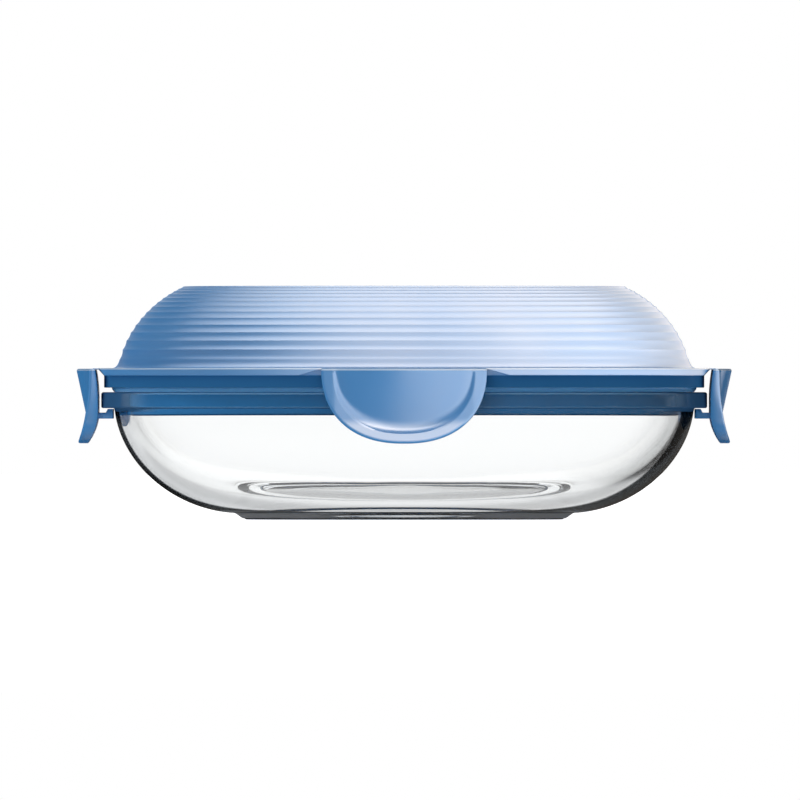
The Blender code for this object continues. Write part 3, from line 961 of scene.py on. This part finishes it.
def pressed_glass(name):
    """Clear pressed glass with slow surface waves and faint reflections, painted shade in its
    colour and a dull layer of painted light and shade over it.
    """
    material, n = new_material(name)
    height = n.height()
    facing = n.facing()
    waves = n.bump(n.noise(38.0), 0.05, 0.0005)
    seen = n.add("ShaderNodeLightPath").outputs["Is Camera Ray"]
    geometry = n.add("ShaderNodeNewGeometry")
    normal = n.turned(geometry.outputs["Normal"], "NORMAL", "WORLD", "CAMERA")
    sideways = n.part_of(normal, "X")
    looks_down = n.span(n.view_tilt(), 0.05, 0.30)
    to_edge = n.total(facing, n.span(sideways, -0.2, 0.85, -0.06, 0.11))
    # Painted shade rides in the glass colour.
    clear_and_painted_shade, edge = glass_tint_and_painted_shade(n, height, to_edge, seen, looks_down)
    keys = {"Color": clear_and_painted_shade, "Roughness": 0.0, "IOR": GLASS_IOR, "Normal": waves}
    clear = n.add("ShaderNodeBsdfRefraction", keys)
    keys = {"Color": GLASS_SHEEN, "Roughness": 0.02, "Normal": waves}
    shine = n.add("ShaderNodeBsdfAnisotropic", keys)
    mirror = n.add("ShaderNodeFresnel", {"IOR": GLASS_IOR, "Normal": waves}).outputs[0]
    outside = n.span(edge, 0.0, 1.0, 0.15, 0.03)
    mirror = n.product(mirror, n.choose(geometry.outputs["Backfacing"], outside, 1.0))
    share, colour = glass_painted_layer(n, height, facing, sideways, seen, looks_down)
    # Dull layer of painted light and shade mixed over the glass.
    painted_layer = n.add("ShaderNodeBsdfDiffuse", {"Color": colour})
    n.surface(n.mix_shaders(share, n.mix_shaders(mirror, clear, shine), painted_layer))
    return material


# ---------------------------------------------------------------- studio


def floor_material(name):
    """Pale floor that clips to white when seen edge on; seen from above, an ambient occlusion
    node paints a soft contact shadow where the object stands."""
    material, n = new_material(name)
    path = n.add("ShaderNodeLightPath")
    seen = n.largest(path.outputs["Is Camera Ray"], path.outputs["Is Transmission Ray"])
    tone = n.mix(n.noise(3.0), (0.86, 0.86, 0.86, 1.0), (0.90, 0.90, 0.90, 1.0))
    tone = n.mix(seen, (0.66, 0.66, 0.67, 1.0), tone)
    edge_on = n.facing()
    lift = n.choose(seen, 0.42, n.span(edge_on, 0.90, 0.99, 0.42, 1.00))
    # Painted contact shadow: ambient occlusion darkens the floor near the object, except when
    # seen edge on.
    occlusion = n.add("ShaderNodeAmbientOcclusion", {"Distance": 0.10}, samples=8)
    painted_contact_shadow = n.span(edge_on, 0.90, 0.99, 0.75, 0.0)
    light = n.rest_of(n.product(painted_contact_shadow, n.rest_of(occlusion.outputs["AO"])))
    shaded = n.add("ShaderNodeBsdfDiffuse", {"Color": n.mix(1.0, tone, light, "MULTIPLY")})
    glow = n.add("ShaderNodeEmission", {"Strength": n.product(lift, light)})
    n.surface(n.add("ShaderNodeAddShader", {0: shaded.outputs[0], 1: glow.outputs[0]}))
    return material


def build_floor():
    half_size = 6.0 / MM
    cells = 12
    height = -0.05
    places = [half_size * (2.0 * i / cells - 1.0) for i in range(cells + 1)]
    points = [(x, y, height) for y in places for x in places]
    faces = []
    for j in range(cells):
        for i in range(cells):
            a = j * (cells + 1) + i
            faces.append((a, a + 1, a + cells + 2, a + cells + 1))
    floor = new_object("studio_floor", points, faces)
    floor.data.materials.append(floor_material("pale_floor"))
    floor.visible_transmission = False
    floor.visible_glossy = False


def softboxes(n, to_right, to_top, to_front):
    """Light seen in glossy surfaces: a large softbox from the right that reaches further
    down there, a strip in it, a dim fill on the left, one overhead and one underneath."""
    level_low = n.span(to_right, -0.18, 0.04, -0.10, -0.90)
    level_high = n.span(to_right, -0.18, 0.04, 0.20, -0.30)
    height = n.maths("SUBTRACT", to_top, level_low)
    height = n.maths("DIVIDE", height, n.maths("SUBTRACT", level_high, level_low))
    right_box = n.product(n.span(to_right, -0.16, 0.10, 0.0, 2.45), n.span(height, 0.0, 1.0))
    across = n.product(n.span(to_right, -0.10, 0.0), n.span(to_right, 0.25, 0.5, 1.0, 0.0))
    up = n.product(n.span(to_top, 0.04, 0.22), n.span(to_top, 0.50, 0.75, 1.0, 0.0))
    strip = n.product(across, up, 0.4)
    left_fill = n.span(to_right, -0.60, -0.05, 0.02, 0.50)
    left_fill = n.product(left_fill, n.span(to_top, -0.35, 0.15, 0.5, 1.0))
    overhead = n.span(to_top, 0.66, 0.92, 0.0, 2.0)
    overhead = n.product(overhead, n.span(to_right, -0.4, 0.05, 0.45, 1.2))
    not_right = n.span(to_right, -0.16, 0.08, 1.0, 0.4)
    left_side = n.product(n.total(left_fill, overhead), not_right)
    under = n.product(n.span(to_right, -0.10, 0.02), n.span(to_top, -0.05, 0.25, 0.75, 0.0))
    light = n.total(right_box, strip, n.total(left_side, under))
    light = n.product(light, n.span(to_front, -0.1, 0.9, 1.0, 0.78))
    banded = n.span(to_top, 0.0, 0.30, 0.84, 1.04)
    banded = n.product(banded, n.span(to_top, 0.30, 0.60, 1.0, 0.80))
    return n.product(light, n.choose(n.span(to_front, 0.2, 0.7), 1.0, banded))


def bright_field(n, to_right, to_top, to_front):
    """Light seen through the glass: white behind the object and dark cards at its sides.
    From above it is an even white."""
    behind = n.span(to_front, -0.05, 0.40, 0.02, 1.08)
    card = n.span(to_right, 0.20, 0.32, 1.0, 0.03)
    card = n.product(card, n.span(to_right, -0.8, -0.5, 0.1, 1.0))
    dip = n.product(n.span(to_top, -0.66, -0.54), n.span(to_top, -0.46, -0.34, 1.0, 0.0), 0.24)
    below = n.span(to_top, -0.55, -0.90, 0.0, 0.35)
    level_look = n.largest(n.product(behind, card, n.rest_of(dip)), below)
    return n.choose(n.span(n.view_tilt(), 0.05, 0.30, 0.0, 0.80), level_look, 0.80)


def build_world():
    """A studio that turns with the camera, as round a turntable. What a ray meets depends
    on what it left: glass, a glossy surface, a dull one, or the camera itself (white)."""
    world = bpy.data.worlds.new("studio")
    world.use_nodes = True
    world.cycles.sampling_method = "NONE"
    bpy.context.scene.world = world
    n = Nodes(world.node_tree)

    def vector_maths(operation, a, b, output=0):
        node = n.add("ShaderNodeVectorMath", {0: a, 1: b}, operation=operation)
        return node.outputs[output]

    direction = n.add("ShaderNodeTexCoord").outputs["Generated"]
    look = n.look()
    level = vector_maths("MULTIPLY", look, (1.0, 1.0, 0.0))
    level = vector_maths("NORMALIZE", level, (0.0, 0.0, 0.0))
    right = vector_maths("CROSS_PRODUCT", level, (0.0, 0.0, 1.0))
    to_right = vector_maths("DOT_PRODUCT", direction, right, "Value")
    to_front = vector_maths("DOT_PRODUCT", direction, look, "Value")
    to_top = n.part_of(direction, "Z")

    path = n.add("ShaderNodeLightPath")
    from_camera = path.outputs["Is Camera Ray"]
    from_glass = path.outputs["Is Transmission Ray"]
    from_dull = n.maths("GREATER_THAN", path.outputs["Diffuse Depth"], 0.5)
    gloss = softboxes(n, to_right, to_top, to_front)
    ambient = n.span(to_top, 0.10, 1.0, 0.98, 0.40)
    ambient = n.product(ambient, n.span(to_right, -0.8, 0.8, 1.25, 0.22))
    strength = n.choose(from_glass, gloss, bright_field(n, to_right, to_top, to_front))
    strength = n.choose(from_dull, strength, ambient)
    strength = n.choose(from_camera, strength, 1.0)

    warm_side = n.product(n.span(to_right, -0.16, 0.0), n.span(to_right, 0.2, 0.6, 1.0, 0.55))
    white = n.largest(from_camera, from_glass, from_dull)
    colour = n.mix(n.product(warm_side, n.rest_of(white)), WHITE, WARM_LIGHT)
    background = n.add("ShaderNodeBackground", {"Color": colour, "Strength": strength})
    n.surface(background, "ShaderNodeOutputWorld")


def build_camera():
    """Long lens, level with the middle of the box, square to its long side."""
    frame_width = 0.3049
    data = bpy.data.cameras.new("camera")
    data.lens = 1200.0
    data.sensor_width = 36.0
    data.clip_start, data.clip_end = 1.0, 40.0
    distance = frame_width * data.lens / data.sensor_width
    camera = bpy.data.objects.new("camera", data)
    camera.location = (-0.0016, -distance, 0.0455)
    camera.rotation_euler = (math.radians(90.0), 0.0, 0.0)
    bpy.context.scene.collection.objects.link(camera)
    bpy.context.scene.camera = camera


# ---------------------------------------------------------------- assembly


def finish_piece(item, material, body, node):
    item.data.materials.clear()
    item.data.materials.append(material)
    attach(item, body)
    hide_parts(node)


def finish_film(item, material, side):
    """Gives the web its material, bakes its place into its mesh and hides the CAD's hinge."""
    item.data.materials.append(material)
    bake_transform(item)
    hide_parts(side + "_film_hinge")


lid_look = lid_plastic("lid_polypropylene")
latch_look = latch_plastic("latch_polypropylene")
seal_look = silicone("seal_silicone")
glass_look = pressed_glass("pressed_clear_glass")

finish_piece(build_glass(), glass_look, "dish", "glass_dish")
finish_piece(build_lid(), lid_look, "lid", "lid_shell")
finish_piece(build_seal(), seal_look, "lid", "lid_seal")

shared_latch = latch_mesh()
shared_film = film_mesh()
for side, degrees, shorter_by in SIDES:
    matrix = side_matrix(degrees, shorter_by)
    latch = place_copy(side + "_latch_plate", shared_latch, matrix)
    finish_piece(latch, latch_look, side + "_latch_body", side + "_latch")
    film = place_copy(side + "_film_web", shared_film, matrix)
    finish_film(film, latch_look, side)

build_floor()
build_world()
build_camera()
bpy.context.scene.view_settings.view_transform = "Standard"
